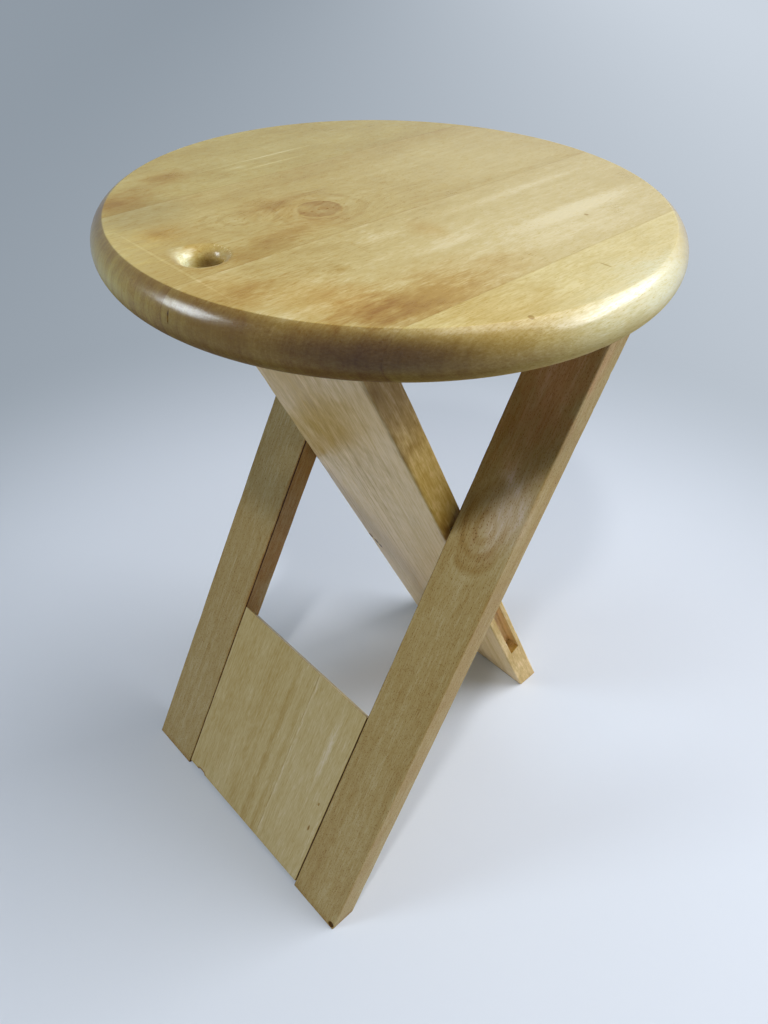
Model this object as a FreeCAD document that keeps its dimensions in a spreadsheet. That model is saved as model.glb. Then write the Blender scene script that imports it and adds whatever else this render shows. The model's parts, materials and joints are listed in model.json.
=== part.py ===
import FreeCAD, Part
import os
import Sketcher

# Folding stool: a round seat on two crossing legs.
# An outer frame (two stiles and a foot panel) and a single broad inner leg are each hinged under the seat.
# Pins in the stiles slide in grooves along the inner leg's edges, so both fold flat together.
# X runs across the stool, the finger hole is at the front (-Y), and Z is up from the floor.

# Driving sizes, in millimetres and degrees
sizes = {
    "seat_height": 460,
    "seat_thickness": 25,
    "seat_diameter": 315,
    "seat_face_diameter": 299,
    "board_width": 91,
    "right_glue_line": 111.5,
    "hole_diameter": 18,
    "hole_setback": 120,
    "hole_lip": 6,
    "hinge_drop": 12.5,
    "frame_hinge_back": 80.5,
    "leg_hinge_front": 78,
    "frame_angle": 62,
    "leg_angle": 63.8,
    "frame_width": 232,
    "stile_width": 45,
    "stile_thickness": 18,
    "panel_height": 160,
    "panel_lift": 3.5,
    "panel_bevel": 11.5,
    "panel_glue_line": 20,
    "leg_width": 137,
    "leg_thickness": 19,
    "leg_glue_line": -25,
    "arris": 1.2,
    "panel_arris": 0.9,
    "groove_width": 9,
    "groove_depth": 10.5,
    "groove_offset": 0.9,
    "groove_top": 168.5,
    "groove_bottom": 395,
    "slide_pin_diameter": 4,
    "slide_pin_drop": 175.9,
    "slide_pin_offset": 1,
    "slide_pin_embed": 26,
    "slide_pin_reach": 11,
    "pivot_diameter": 6,
    "pivot_clearance": 0.05,
    "pivot_length": 30,
    "pivot_head_diameter": 11,
    "pivot_head_thickness": 1.8,
    "bracket_width": 22,
    "bracket_thickness": 2,
    "bracket_gap": 0.3,
    "bracket_bend": 1.5,
    "flange_length": 40,
    "flange_corner": 3,
    "cheek_flat": 0.2,
    "near_screw": 9,
    "far_screw": 29,
    "screw_diameter": 3.5,
    "screw_head_diameter": 7,
    "screw_length": 16,
    "screw_point": 3,
    "dowel_diameter": 8,
    "dowel_length": 30,
    "dowel_low": 36,
    "dowel_high": 124,
    "pin_chamfer": 0.5,
}

doc = FreeCAD.newDocument("folding_stool")
sheet = doc.addObject("Spreadsheet::Sheet", "Sizes")
for row, (alias, value) in enumerate(sizes.items(), start=1):
    sheet.set(f"A{row}", alias)
    sheet.set(f"B{row}", str(value))
    sheet.setAlias(f"B{row}", alias)
doc.recompute()

sides = {"left": -1, "right": 1}
hinge_height = "(Sizes.seat_height - Sizes.seat_thickness - Sizes.hinge_drop)"
frame_inside = "(Sizes.frame_width / 2 - Sizes.stile_width)"
across = FreeCAD.Rotation(FreeCAD.Vector(0, 1, 0), 90)
close = 1e-3
nodes = []


def bind(item, expressions):
    for prop, expression in expressions.items():
        item.setExpression(prop, expression)


def new_body(label):
    body = doc.addObject("PartDesign::Body", label)
    body.Label = label
    return body


def sketch_on(body, role, name):
    plane = next(feature for feature in body.Origin.OriginFeatures if feature.Role == role)
    sketch = body.newObject("Sketcher::SketchObject", name)
    sketch.AttachmentSupport = [(plane, "")]
    sketch.MapMode = "FlatFace"
    return sketch


def fix_point(sketch, geometry, point, x, y):
    # Holds one point of a sketch at the place that two expressions give
    drawn = sketch.getPoint(geometry, point)
    for kind, start, expression in (("DistanceX", drawn.x, x), ("DistanceY", drawn.y, y)):
        index = sketch.addConstraint(Sketcher.Constraint(kind, -1, 1, geometry, point, start))
        sketch.setExpression(f"Constraints[{index}]", expression)


def close_outline(sketch, curves):
    # Joins the end of each curve to the start of the next, and the last to the first
    for curve in curves:
        sketch.addGeometry(curve)
    for index in range(len(curves)):
        following = (index + 1) % len(curves)
        sketch.addConstraint(Sketcher.Constraint("Coincident", index, 2, following, 1))


def polygon(sketch, corners):
    # Closed outline of straight lines, drawn as a fan of points and then held at each corner
    fan = [FreeCAD.Vector(index + 1, index * index + 1, 0) for index in range(len(corners))]
    lines = [Part.LineSegment(start, end) for start, end in zip(fan, fan[1:] + fan[:1])]
    close_outline(sketch, lines)
    for index, (x, y) in enumerate(corners):
        fix_point(sketch, index, 1, x, y)


def edges_where(feature, wanted):
    edges = enumerate(feature.Shape.Edges, start=1)
    return [f"Edge{number}" for number, edge in edges if wanted(edge)]


def round_edges(body, base, name, radius, wanted):
    doc.recompute()
    fillet = body.newObject("PartDesign::Fillet", name)
    fillet.Base = (base, edges_where(base, wanted))
    bind(fillet, {"Radius": radius})
    return fillet


def bevel_edges(body, base, name, wanted):
    doc.recompute()
    chamfer = body.newObject("PartDesign::Chamfer", name)
    chamfer.Base = (base, edges_where(base, wanted))
    bind(chamfer, {"Size": "Sizes.pin_chamfer"})
    return chamfer


def cross_cylinder(body, kind, name, side, inner, outer, radius, y="0", z="0"):
    # Cylinder along X between two distances counted outwards on the given side
    cylinder = body.newObject(f"PartDesign::{kind}Cylinder", name)
    cylinder.Placement.Rotation = across
    bind(cylinder, {
        "Radius": radius,
        "Height": f"({outer}) - ({inner})",
        "Placement.Base.x": inner if side > 0 else f"-({outer})",
        "Placement.Base.y": y,
        "Placement.Base.z": z,
    })
    return cylinder


def lean(item, axis, angle, x, y):
    # Hangs a piece from its hinge line at its leg's own slope
    item.Placement.Rotation = FreeCAD.Rotation(FreeCAD.Vector(axis, 0, 0), 90 - sizes[angle])
    bind(item, {
        "Placement.Rotation.Angle": f"90 - Sizes.{angle}",
        "Placement.Base.x": x,
        "Placement.Base.y": y,
        "Placement.Base.z": hinge_height,
    })


def lean_frame(item, x):
    lean(item, -1, "frame_angle", x, "Sizes.frame_hinge_back")


def lean_leg(item, x):
    lean(item, 1, "leg_angle", x, "-Sizes.leg_hinge_front")


def foot_depth(thickness, angle, sign):
    # Distance down a leg from its hinge line to the floor, along its lower (+1) or upper (-1) sloping face
    return f"(({hinge_height} + {sign} * {thickness} / 2 * cos({angle})) / sin({angle}))"


frame_front = foot_depth("Sizes.stile_thickness", "Sizes.frame_angle", 1)
frame_back = foot_depth("Sizes.stile_thickness", "Sizes.frame_angle", -1)
leg_front = foot_depth("Sizes.leg_thickness", "Sizes.leg_angle", -1)
leg_back = foot_depth("Sizes.leg_thickness", "Sizes.leg_angle", 1)


def plank(body, side, width, thickness, tops, feet):
    # Straight plank drawn in side view and padded outwards from its inner face
    sketch = sketch_on(body, "YZ_Plane", "side_outline")
    front, back = f"-{thickness} / 2", f"{thickness} / 2"
    polygon(sketch, [(front, tops[0]), (front, f"-{feet[0]}"), (back, f"-{feet[1]}"), (back, tops[1])])
    pad = body.newObject("PartDesign::Pad", "plank")
    pad.Profile = sketch
    pad.Reversed = side < 0
    bind(pad, {"Length": width})
    return pad


def round_top(body, side, width, thickness):
    return cross_cylinder(body, "Additive", "round_top", side, "0", width, f"{thickness} / 2")


# Seat, turned as one blank and bored
blank = new_body("seat_blank")
section = sketch_on(blank, "XZ_Plane", "seat_section")
face_radius = sizes["seat_face_diameter"] / 2
rim_radius = sizes["seat_diameter"] / 2
half_thickness = sizes["seat_thickness"] / 2
middle = sizes["seat_height"] - half_thickness
bottom_in = FreeCAD.Vector(0, middle - half_thickness, 0)
bottom_out = FreeCAD.Vector(face_radius, middle - half_thickness, 0)
rim = FreeCAD.Vector(rim_radius, middle, 0)
top_out = FreeCAD.Vector(face_radius, middle + half_thickness, 0)
top_in = FreeCAD.Vector(0, middle + half_thickness, 0)
rim_arc = Part.Arc(bottom_out, rim, top_out)
drawn_radius = rim_arc.toShape().Curve.Radius
close_outline(section, [
    Part.LineSegment(bottom_in, bottom_out),
    rim_arc,
    Part.LineSegment(top_out, top_in),
    Part.LineSegment(top_in, bottom_in),
])
underside = "Sizes.seat_height - Sizes.seat_thickness"
fix_point(section, 0, 1, "0", underside)
fix_point(section, 0, 2, "Sizes.seat_face_diameter / 2", underside)
fix_point(section, 2, 1, "Sizes.seat_face_diameter / 2", "Sizes.seat_height")
fix_point(section, 2, 2, "0", "Sizes.seat_height")
rim_bulge = "((Sizes.seat_diameter - Sizes.seat_face_diameter) / 2)"
edge_arc = section.addConstraint(Sketcher.Constraint("Radius", 1, drawn_radius))
section.setExpression(
    f"Constraints[{edge_arc}]", f"(Sizes.seat_thickness ^ 2 / 4 + {rim_bulge} ^ 2) / (2 * {rim_bulge})"
)
turned = blank.newObject("PartDesign::Revolution", "turned_seat")
turned.Profile = section
turned.ReferenceAxis = (section, ["V_Axis"])
finger_hole = blank.newObject("PartDesign::SubtractiveCylinder", "finger_hole")
bind(finger_hole, {
    "Radius": "Sizes.hole_diameter / 2",
    "Height": "Sizes.seat_thickness",
    "Placement.Base.y": "-Sizes.hole_setback",
    "Placement.Base.z": underside,
})


def at_hole_mouth(edge):
    centre = edge.CenterOfMass
    return abs(centre.y + sizes["hole_setback"]) < close and abs(centre.z - middle) > half_thickness - close


round_edges(blank, finger_hole, "hole_lips", "Sizes.hole_lip", at_hole_mouth)

# Where each hinge bracket stands: the side face that it grips and its hinge line
brackets = {
    "stile_bracket": ("Sizes.frame_width / 2", "Sizes.frame_hinge_back"),
    "leg_bracket": ("Sizes.leg_width / 2", "-Sizes.leg_hinge_front"),
}
screw_sites = []
for face, hinge_line in brackets.values():
    for side in sides.values():
        for inset in ("Sizes.near_screw", "Sizes.far_screw"):
            screw_sites.append((f"{side} * ({face} - {inset})", hinge_line))

for number, (x, y) in enumerate(screw_sites, start=1):
    pilot = blank.newObject("PartDesign::SubtractiveCylinder", f"pilot_hole_{number}")
    bind(pilot, {
        "Radius": "Sizes.screw_diameter / 2",
        "Height": "Sizes.screw_length - Sizes.bracket_thickness",
        "Placement.Base.x": x,
        "Placement.Base.y": y,
        "Placement.Base.z": underside,
    })

# The seat's four boards, cut from the blank along its glue lines
inner_glue_lines = 3
board_edges = ["-Sizes.seat_diameter / 2"]
for boards_back in reversed(range(inner_glue_lines)):
    board_edges.append(f"Sizes.right_glue_line - {boards_back} * Sizes.board_width")
board_edges.append("Sizes.seat_diameter / 2")
for number, (left, right) in enumerate(zip(board_edges, board_edges[1:]), start=1):
    slab = doc.addObject("Part::Box", f"board_slab_{number}")
    bind(slab, {
        "Length": f"({right}) - ({left})",
        "Width": "Sizes.seat_diameter",
        "Height": "Sizes.seat_thickness",
        "Placement.Base.x": left,
        "Placement.Base.y": "-Sizes.seat_diameter / 2",
        "Placement.Base.z": underside,
    })
    board = doc.addObject("Part::Common", f"seat_board_{number}")
    board.Base = blank
    board.Tool = slab
    nodes.append(board)


def hinge_bracket(label, side, face, hinge_line):
    # Bent steel angle: a flange screwed under the seat and a round-ended cheek beside the leg
    body = new_body(label)
    bind(body, {
        "Placement.Base.x": f"{side} * {face}",
        "Placement.Base.y": hinge_line,
        "Placement.Base.z": hinge_height,
    })
    inside = f"{side} * Sizes.bracket_gap"
    outside = f"{side} * (Sizes.bracket_gap + Sizes.bracket_thickness)"
    flange_end = f"{side} * (Sizes.bracket_gap + Sizes.bracket_thickness - Sizes.flange_length)"
    top = "Sizes.hinge_drop"
    below = "Sizes.hinge_drop - Sizes.bracket_thickness"
    foot = "-Sizes.bracket_width / 2"
    sketch = sketch_on(body, "XZ_Plane", "angle_outline")
    polygon(sketch, [
        (flange_end, top), (outside, top), (outside, foot),
        (inside, foot), (inside, below), (flange_end, below),
    ])
    pad = body.newObject("PartDesign::Pad", "angle")
    pad.Profile = sketch
    pad.SideType = "Symmetric"
    bind(pad, {"Length": "Sizes.bracket_width"})

    gap, thickness = sizes["bracket_gap"], sizes["bracket_thickness"]
    drop, half_width = sizes["hinge_drop"], sizes["bracket_width"] / 2

    def along_bend(edge, out, up):
        centre = edge.CenterOfMass
        return abs(centre.x - side * out) < close and abs(centre.z - up) < close

    def at_flange_end(edge):
        centre = edge.CenterOfMass
        at_end = abs(centre.x - side * (gap + thickness - sizes["flange_length"])) < close
        return at_end and abs(abs(centre.y) - half_width) < close

    def at_cheek_foot(edge):
        centre = edge.CenterOfMass
        return abs(centre.z + half_width) < close and abs(abs(centre.y) - half_width) < close

    bend = round_edges(body, pad, "inner_bend", "Sizes.bracket_bend",
                       lambda edge: along_bend(edge, gap, drop - thickness))
    bend = round_edges(body, bend, "outer_bend", "Sizes.bracket_bend + Sizes.bracket_thickness",
                       lambda edge: along_bend(edge, gap + thickness, drop))
    corners = round_edges(body, bend, "flange_corners", "Sizes.flange_corner", at_flange_end)
    round_edges(body, corners, "cheek_end", "(Sizes.bracket_width - Sizes.cheek_flat) / 2", at_cheek_foot)
    cross_cylinder(body, "Subtractive", "pivot_eye", side, "0", "Sizes.flange_length",
                   "Sizes.pivot_diameter / 2 + Sizes.pivot_clearance")
    for inset in ("near_screw", "far_screw"):
        place = {"Placement.Base.x": f"{-side} * Sizes.{inset}", "Placement.Base.z": below}
        shank_hole = body.newObject("PartDesign::SubtractiveCylinder", f"{inset}_hole")
        bind(shank_hole, {"Radius": "Sizes.screw_diameter / 2", "Height": "Sizes.bracket_thickness", **place})
        countersink = body.newObject("PartDesign::SubtractiveCone", f"{inset}_countersink")
        bind(countersink, {
            "Radius1": "Sizes.screw_head_diameter / 2",
            "Radius2": "Sizes.screw_diameter / 2",
            "Height": "(Sizes.screw_head_diameter - Sizes.screw_diameter) / 2",
            **place,
        })
    return body


for kind, (face, hinge_line) in brackets.items():
    for side_name, side in sides.items():
        nodes.append(hinge_bracket(f"{kind}_{side_name}", side, face, hinge_line))


def wood_screw(number, x, y):
    # Countersunk screw pointing up into the seat: head cone, shank and point
    head_height = "(Sizes.screw_head_diameter - Sizes.screw_diameter) / 2"
    shank_height = f"Sizes.screw_length - Sizes.screw_point - {head_height}"
    head_level = f"{underside} - Sizes.bracket_thickness"
    head = doc.addObject("Part::Cone", f"screw_head_{number}")
    bind(head, {
        "Radius1": "Sizes.screw_head_diameter / 2",
        "Radius2": "Sizes.screw_diameter / 2",
        "Height": head_height,
        "Placement.Base.z": head_level,
    })
    shank = doc.addObject("Part::Cylinder", f"screw_shank_{number}")
    bind(shank, {
        "Radius": "Sizes.screw_diameter / 2",
        "Height": shank_height,
        "Placement.Base.z": f"{head_level} + {head_height}",
    })
    point = doc.addObject("Part::Cone", f"screw_point_{number}")
    bind(point, {
        "Radius1": "Sizes.screw_diameter / 2",
        "Height": "Sizes.screw_point",
        "Placement.Base.z": f"{underside} - Sizes.bracket_thickness + Sizes.screw_length - Sizes.screw_point",
    })
    point.Radius2 = 0
    for piece in (head, shank, point):
        bind(piece, {"Placement.Base.x": x, "Placement.Base.y": y})
    screw = doc.addObject("Part::MultiFuse", f"screw_{number}")
    screw.Shapes = [head, shank, point]
    return screw


screws = doc.addObject("Part::Compound", "bracket_screws")
screws.Links = [wood_screw(number, x, y) for number, (x, y) in enumerate(screw_sites, start=1)]
nodes.append(screws)

# Heights up the frame, along the stiles, where the panel's dowels sit
dowel_levels = [f"Sizes.{level} - {frame_front}" for level in ("dowel_low", "dowel_high")]


def stile(label, side):
    body = new_body(label)
    lean_frame(body, f"{side} * {frame_inside}")
    width, thickness = "Sizes.stile_width", "Sizes.stile_thickness"
    plank(body, side, width, thickness, ("0", "0"), (frame_front, frame_back))
    rounded = round_top(body, side, width, thickness)

    def long_arris(edge):
        centre = edge.CenterOfMass
        on_side = min(abs(centre.x), abs(centre.x - side * sizes["stile_width"])) < close
        return on_side and centre.z > rounded.Shape.BoundBox.ZMin + sizes["stile_width"]

    round_edges(body, rounded, "arrises", "Sizes.arris", long_arris)
    cross_cylinder(body, "Subtractive", "pivot_hole", side, f"{width} - Sizes.pivot_length", width,
                   "Sizes.pivot_diameter / 2")
    cross_cylinder(body, "Subtractive", "slide_pin_hole", side, "0", "Sizes.slide_pin_embed",
                   "Sizes.slide_pin_diameter / 2", "-Sizes.slide_pin_offset", "-Sizes.slide_pin_drop")
    for number, level in enumerate(dowel_levels, start=1):
        cross_cylinder(body, "Subtractive", f"dowel_hole_{number}", side, "0", "Sizes.dowel_length / 2",
                       "Sizes.dowel_diameter / 2", "0", level)
    return body


def panel_board(label, side):
    body = new_body(label)
    lean_frame(body, "Sizes.panel_glue_line")
    width = f"({frame_inside} - {side} * Sizes.panel_glue_line)"
    feet = [f"({depth} - Sizes.panel_lift)" for depth in (frame_front, frame_back)]
    # The top slopes down to the back
    tops = [f"Sizes.panel_height - {drop} - {frame_front}" for drop in ("0", "Sizes.panel_bevel")]
    pad = plank(body, side, width, "Sizes.stile_thickness", tops, feet)
    outer = sizes["frame_width"] / 2 - sizes["stile_width"] - side * sizes["panel_glue_line"]

    def beside_stile_or_top(edge):
        centre = edge.CenterOfMass
        on_face = abs(abs(centre.y) - sizes["stile_thickness"] / 2) < close
        upright = abs(centre.x - side * outer) < close
        at_top = abs(centre.z - pad.Shape.BoundBox.ZMax) < close
        return on_face and (upright or at_top)

    round_edges(body, pad, "arrises", "Sizes.panel_arris", beside_stile_or_top)
    for number, level in enumerate(dowel_levels, start=1):
        cross_cylinder(body, "Subtractive", f"dowel_hole_{number}", side, f"{width} - Sizes.dowel_length / 2",
                       width, "Sizes.dowel_diameter / 2", "0", level)
    return body


def dowel(label, side, level):
    body = new_body(label)
    lean_frame(body, f"{side} * {frame_inside}")
    rod = cross_cylinder(body, "Additive", "rod", side, "-Sizes.dowel_length / 2", "Sizes.dowel_length / 2",
                         "Sizes.dowel_diameter / 2", "0", level)
    bevel_edges(body, rod, "ends", lambda edge: isinstance(edge.Curve, Part.Circle))
    return body


def slide_pin(label, side):
    body = new_body(label)
    lean_frame(body, f"{side} * {frame_inside}")
    rod = cross_cylinder(body, "Additive", "rod", side, "-Sizes.slide_pin_reach", "Sizes.slide_pin_embed",
                         "Sizes.slide_pin_diameter / 2", "-Sizes.slide_pin_offset", "-Sizes.slide_pin_drop")
    bevel_edges(body, rod, "ends", lambda edge: isinstance(edge.Curve, Part.Circle))
    return body


def pivot_pin(label, side, place, face):
    # Headed steel pin: fast in the wood, turning in the bracket's eye
    body = new_body(label)
    place(body, f"{side} * {face}")
    under_head = "2 * Sizes.bracket_gap + Sizes.bracket_thickness"
    cross_cylinder(body, "Additive", "shank", side, "-Sizes.pivot_length", under_head,
                   "Sizes.pivot_diameter / 2")
    head = cross_cylinder(body, "Additive", "head", side, under_head,
                          f"{under_head} + Sizes.pivot_head_thickness", "Sizes.pivot_head_diameter / 2")
    head_out = 2 * sizes["bracket_gap"] + sizes["bracket_thickness"] + sizes["pivot_head_thickness"]
    bevel_edges(body, head, "head_edge", lambda edge: abs(edge.CenterOfMass.x - side * head_out) < close)
    return body


def leg_board(label, side):
    body = new_body(label)
    lean_leg(body, "Sizes.leg_glue_line")
    thickness = "Sizes.leg_thickness"
    width = f"(Sizes.leg_width / 2 - {side} * Sizes.leg_glue_line)"
    plank(body, side, width, thickness, ("0", "0"), (leg_front, leg_back))
    rounded = round_top(body, side, width, thickness)
    outer = sizes["leg_width"] / 2 - side * sizes["leg_glue_line"]

    def outer_arris(edge):
        centre = edge.CenterOfMass
        above_foot = centre.z > rounded.Shape.BoundBox.ZMin + sizes["leg_thickness"]
        return abs(centre.x - side * outer) < close and above_foot

    round_edges(body, rounded, "arrises", "Sizes.arris", outer_arris)
    cross_cylinder(body, "Subtractive", "pivot_hole", side, f"{width} - Sizes.pivot_length", width,
                   "Sizes.pivot_diameter / 2")
    slot = sketch_on(body, "YZ_Plane", "groove_outline")
    bind(slot, {"AttachmentOffset.Base.z": f"{side} * {width}"})
    front = "Sizes.groove_offset - Sizes.groove_width / 2"
    back = "Sizes.groove_offset + Sizes.groove_width / 2"
    top, bottom = "-Sizes.groove_top", "-Sizes.groove_bottom"
    polygon(slot, [(front, top), (front, bottom), (back, bottom), (back, top)])
    groove = body.newObject("PartDesign::Pocket", "groove")
    groove.Profile = slot
    groove.Reversed = side < 0
    bind(groove, {"Length": "Sizes.groove_depth"})
    return body


for side_name, side in sides.items():
    nodes.append(stile(f"{side_name}_stile", side))
    nodes.append(panel_board(f"panel_board_{side_name}", side))
    nodes.append(slide_pin(f"slide_pin_{side_name}", side))
    nodes.append(pivot_pin(f"stile_pivot_{side_name}", side, lean_frame, "Sizes.frame_width / 2"))
    nodes.append(leg_board(f"leg_board_{side_name}", side))
    nodes.append(pivot_pin(f"leg_pivot_{side_name}", side, lean_leg, "Sizes.leg_width / 2"))

dowels = doc.addObject("Part::Compound", "panel_dowels")
dowels.Links = [
    dowel(f"dowel_{side_name}_{number}", side, level)
    for side_name, side in sides.items()
    for number, level in enumerate(dowel_levels, start=1)
]
nodes.append(dowels)

doc.recompute()
cuts = ("PartDesign::Pocket", "PartDesign::SubtractiveCylinder", "PartDesign::SubtractiveCone")
for item in doc.Objects:
    if "Invalid" in item.State or "Error" in item.State:
        raise RuntimeError(f"{item.Label} failed: {item.State}")
    if item.TypeId in cuts and item.Shape.Volume > item.BaseFeature.Shape.Volume - close:
        raise RuntimeError(f"{item.Label} cuts nothing")
for node in nodes:
    if node.Shape.isNull() or not node.Shape.isValid():
        raise RuntimeError(f"{node.Label} has no valid shape")

os.makedirs("parts", exist_ok=True)
for node in nodes:
    node.Shape.exportStep(f"parts/{node.Label}.step")
    print(f"{node.Label}: {len(node.Shape.Solids)} solid, {node.Shape.Volume:.0f} mm3")
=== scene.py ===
import bmesh
import bpy
import json
import math
from mathutils import Matrix, Vector, noise

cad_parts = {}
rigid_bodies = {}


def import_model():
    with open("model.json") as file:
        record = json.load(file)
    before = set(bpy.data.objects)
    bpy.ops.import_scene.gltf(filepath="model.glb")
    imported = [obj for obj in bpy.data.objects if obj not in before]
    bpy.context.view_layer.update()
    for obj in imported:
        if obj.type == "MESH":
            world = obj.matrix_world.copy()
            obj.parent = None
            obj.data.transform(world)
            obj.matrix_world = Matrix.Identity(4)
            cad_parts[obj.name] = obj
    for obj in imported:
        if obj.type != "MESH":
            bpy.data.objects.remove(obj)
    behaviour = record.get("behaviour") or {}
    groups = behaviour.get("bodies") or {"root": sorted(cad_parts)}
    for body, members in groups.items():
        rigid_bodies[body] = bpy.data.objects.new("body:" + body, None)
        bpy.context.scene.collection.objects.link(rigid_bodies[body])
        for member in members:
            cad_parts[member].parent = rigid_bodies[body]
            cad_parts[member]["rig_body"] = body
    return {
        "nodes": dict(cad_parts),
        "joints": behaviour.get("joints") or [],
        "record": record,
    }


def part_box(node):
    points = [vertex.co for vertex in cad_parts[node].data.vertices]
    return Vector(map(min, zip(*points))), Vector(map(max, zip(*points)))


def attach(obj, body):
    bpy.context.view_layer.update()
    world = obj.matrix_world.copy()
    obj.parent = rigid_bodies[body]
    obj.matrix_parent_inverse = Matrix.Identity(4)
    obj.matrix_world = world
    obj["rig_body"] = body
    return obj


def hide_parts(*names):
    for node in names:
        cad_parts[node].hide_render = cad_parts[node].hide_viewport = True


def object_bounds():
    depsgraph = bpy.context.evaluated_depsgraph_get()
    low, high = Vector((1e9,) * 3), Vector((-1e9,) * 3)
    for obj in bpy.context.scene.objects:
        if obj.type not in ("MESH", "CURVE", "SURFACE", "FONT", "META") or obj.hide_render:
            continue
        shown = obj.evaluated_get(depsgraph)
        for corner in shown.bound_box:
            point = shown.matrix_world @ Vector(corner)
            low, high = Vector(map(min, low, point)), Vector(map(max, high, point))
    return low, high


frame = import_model()
cadLow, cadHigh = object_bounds()
mm = 0.001
# skins stay this far within the CAD box
inside = 0.002 * mm
joints = {joint["name"]: joint for joint in frame["joints"]}
mounts = {mount["name"]: mount for mount in frame["record"]["mounts"]}
print("frame loaded:", len(frame["nodes"]), "nodes")


def boxAlong(node, axes):
    # lowest and highest corner of a CAD node along a piece's own axes
    turn = axes.inverted()
    spots = [turn @ vertex.co for vertex in frame["nodes"][node].data.vertices]
    return Vector([min(axis) for axis in zip(*spots)]), Vector([max(axis) for axis in zip(*spots)])


def legAxes(jointName, node):
    # x across the leg, y through it from front to back, z up its grain from its lowest corner
    fold = joints[jointName]
    lean = math.radians(90 - fold["range_deg"][1])
    hinged = Matrix.Translation(fold["pos_m"]) @ Matrix.Rotation(lean, 4, "X")
    return hinged @ Matrix.Translation((0, 0, boxAlong(node, hinged)[0].z))


frameAxes = legAxes("frame_fold", "left_stile")
innerAxes = legAxes("leg_fold", "leg_board_left")
# the seat's grain runs front to back, and its y counts down from the top face
seatAxes = Matrix.Translation((0, 0, cadHigh.z)) @ Matrix.Rotation(-math.pi / 2, 4, "X")


class Wire:
    # a socket of a node tree; sums written with it add their Math nodes
    def __init__(self, tree, socket=None):
        self.tree = tree
        self.socket = socket

    def node(self, kind, settings=None, inputs=None, out=0):
        made = self.tree.nodes.new(kind)
        for name, value in (settings or {}).items():
            if name == "stops":
                for index, (place, colour) in enumerate(value):
                    stops = made.color_ramp.elements
                    stop = stops[index] if index < 2 else stops.new(place)
                    stop.position, stop.color = place, (*colour, 1)
            else:
                setattr(made, name, value)
        for name, value in (inputs or {}).items():
            if isinstance(value, Wire):
                self.tree.links.new(value.socket, made.inputs[name])
            else:
                made.inputs[name].default_value = value
        return None if out is None else Wire(self.tree, made.outputs[out])

    def other(self, name):
        return Wire(self.tree, self.socket.node.outputs[name])

    def math(self, operation, *values):
        return self.node("ShaderNodeMath", {"operation": operation}, dict(enumerate(values)))

    def vector(self, operation, value=None, out=0):
        inputs = {0: self} if value is None else {0: self, 1: value}
        return self.node("ShaderNodeVectorMath", {"operation": operation}, inputs, out)

    def __add__(self, other):
        return self.math("ADD", self, other)

    def __radd__(self, other):
        return self.math("ADD", other, self)

    def __sub__(self, other):
        return self.math("SUBTRACT", self, other)

    def __rsub__(self, other):
        return self.math("SUBTRACT", other, self)

    def __mul__(self, other):
        return self.math("MULTIPLY", self, other)

    def __rmul__(self, other):
        return self.math("MULTIPLY", other, self)

    def __abs__(self):
        return self.math("ABSOLUTE", self)

    def ramp(self, start, end):
        # 0 at start and 1 at end, whichever is larger, smooth between
        return self.node("ShaderNodeMapRange", {"interpolation_type": "SMOOTHSTEP"},
                         {"Value": self, "From Min": start, "From Max": end})

    def grain(self, across, along, detail=2.0, rough=0.5):
        # noise about 0, drawn out along the fibres; sizes in millimetres
        return self.cloud((across, across, along), detail, rough)

    def cloud(self, sizes, detail=2.0, rough=0.5):
        return self.node("ShaderNodeTexNoise", None, {
            "Vector": self.vector("DIVIDE", sizes), "Scale": 1.0,
            "Detail": detail, "Roughness": rough}) - 0.5

    def scaled(self, factor):
        return self.node("ShaderNodeVectorMath", {"operation": "SCALE"}, {0: self, "Scale": factor})

    def between(self, low, high):
        # one colour where this value is 0, another where it is 1
        return self.node("ShaderNodeMix", {"data_type": "RGBA"}, {0: self, 6: low, 7: high}, 2)

    def tinted(self, factor, tint):
        return self.node("ShaderNodeMix", {"data_type": "RGBA", "blend_type": "MULTIPLY"},
                         {0: factor, 6: self, 7: (*tint, 1)}, 2)


def newFinish(name):
    finish = bpy.data.materials.new(name)
    finish.use_nodes = True
    shader = finish.node_tree.nodes["Principled BSDF"]
    return finish, shader, Wire(finish.node_tree)


def plug(start, shader, links, constants):
    # varying sockets are linked, and what is the same all over is set on the shader itself
    for name, wire in links.items():
        start.tree.links.new(wire.socket, shader.inputs[name])
    for name, value in constants.items():
        shader.inputs[name].default_value = value


woodTones = [
    (0.00, (0.060, 0.026, 0.006)),
    (0.22, (0.270, 0.140, 0.028)),
    (0.42, (0.400, 0.255, 0.058)),
    (0.60, (0.495, 0.370, 0.115)),
    (0.80, (0.610, 0.500, 0.215)),
    (1.00, (0.770, 0.680, 0.420)),
]
endGrainTint = (0.42, 0.33, 0.125)
# tints that colour the wood in places, above 1 where it is paler than the rest; some are painted light or
# shade, as noted
smear = (0.92, 0.80, 0.56)
brown = (0.77, 0.65, 0.31)
olive = (0.74, 0.68, 0.36)
# painted sheen: paler and bluer where a glossy highlight lies
paintedSheen = (1.12, 1.30, 2.0)
# painted shade: the seat's shadow over the inner leg's upper front, golden brown
paintedSeatShade = (0.64, 0.53, 0.16)
shade = (0.40, 0.30, 0.19)
# painted light: pales the finger hole's wall that faces the right window
paintedWallLight = (1.35, 1.70, 3.3)
# painted light: the bluish window light and reflection on the seat's left rim
paintedWindowLight = (1.90, 2.50, 3.7)
# reddish wood, partly painted warm bounce light in the seat's shadow
rosyWoodAndBounce = (1.30, 1.08, 1.45)


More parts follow.
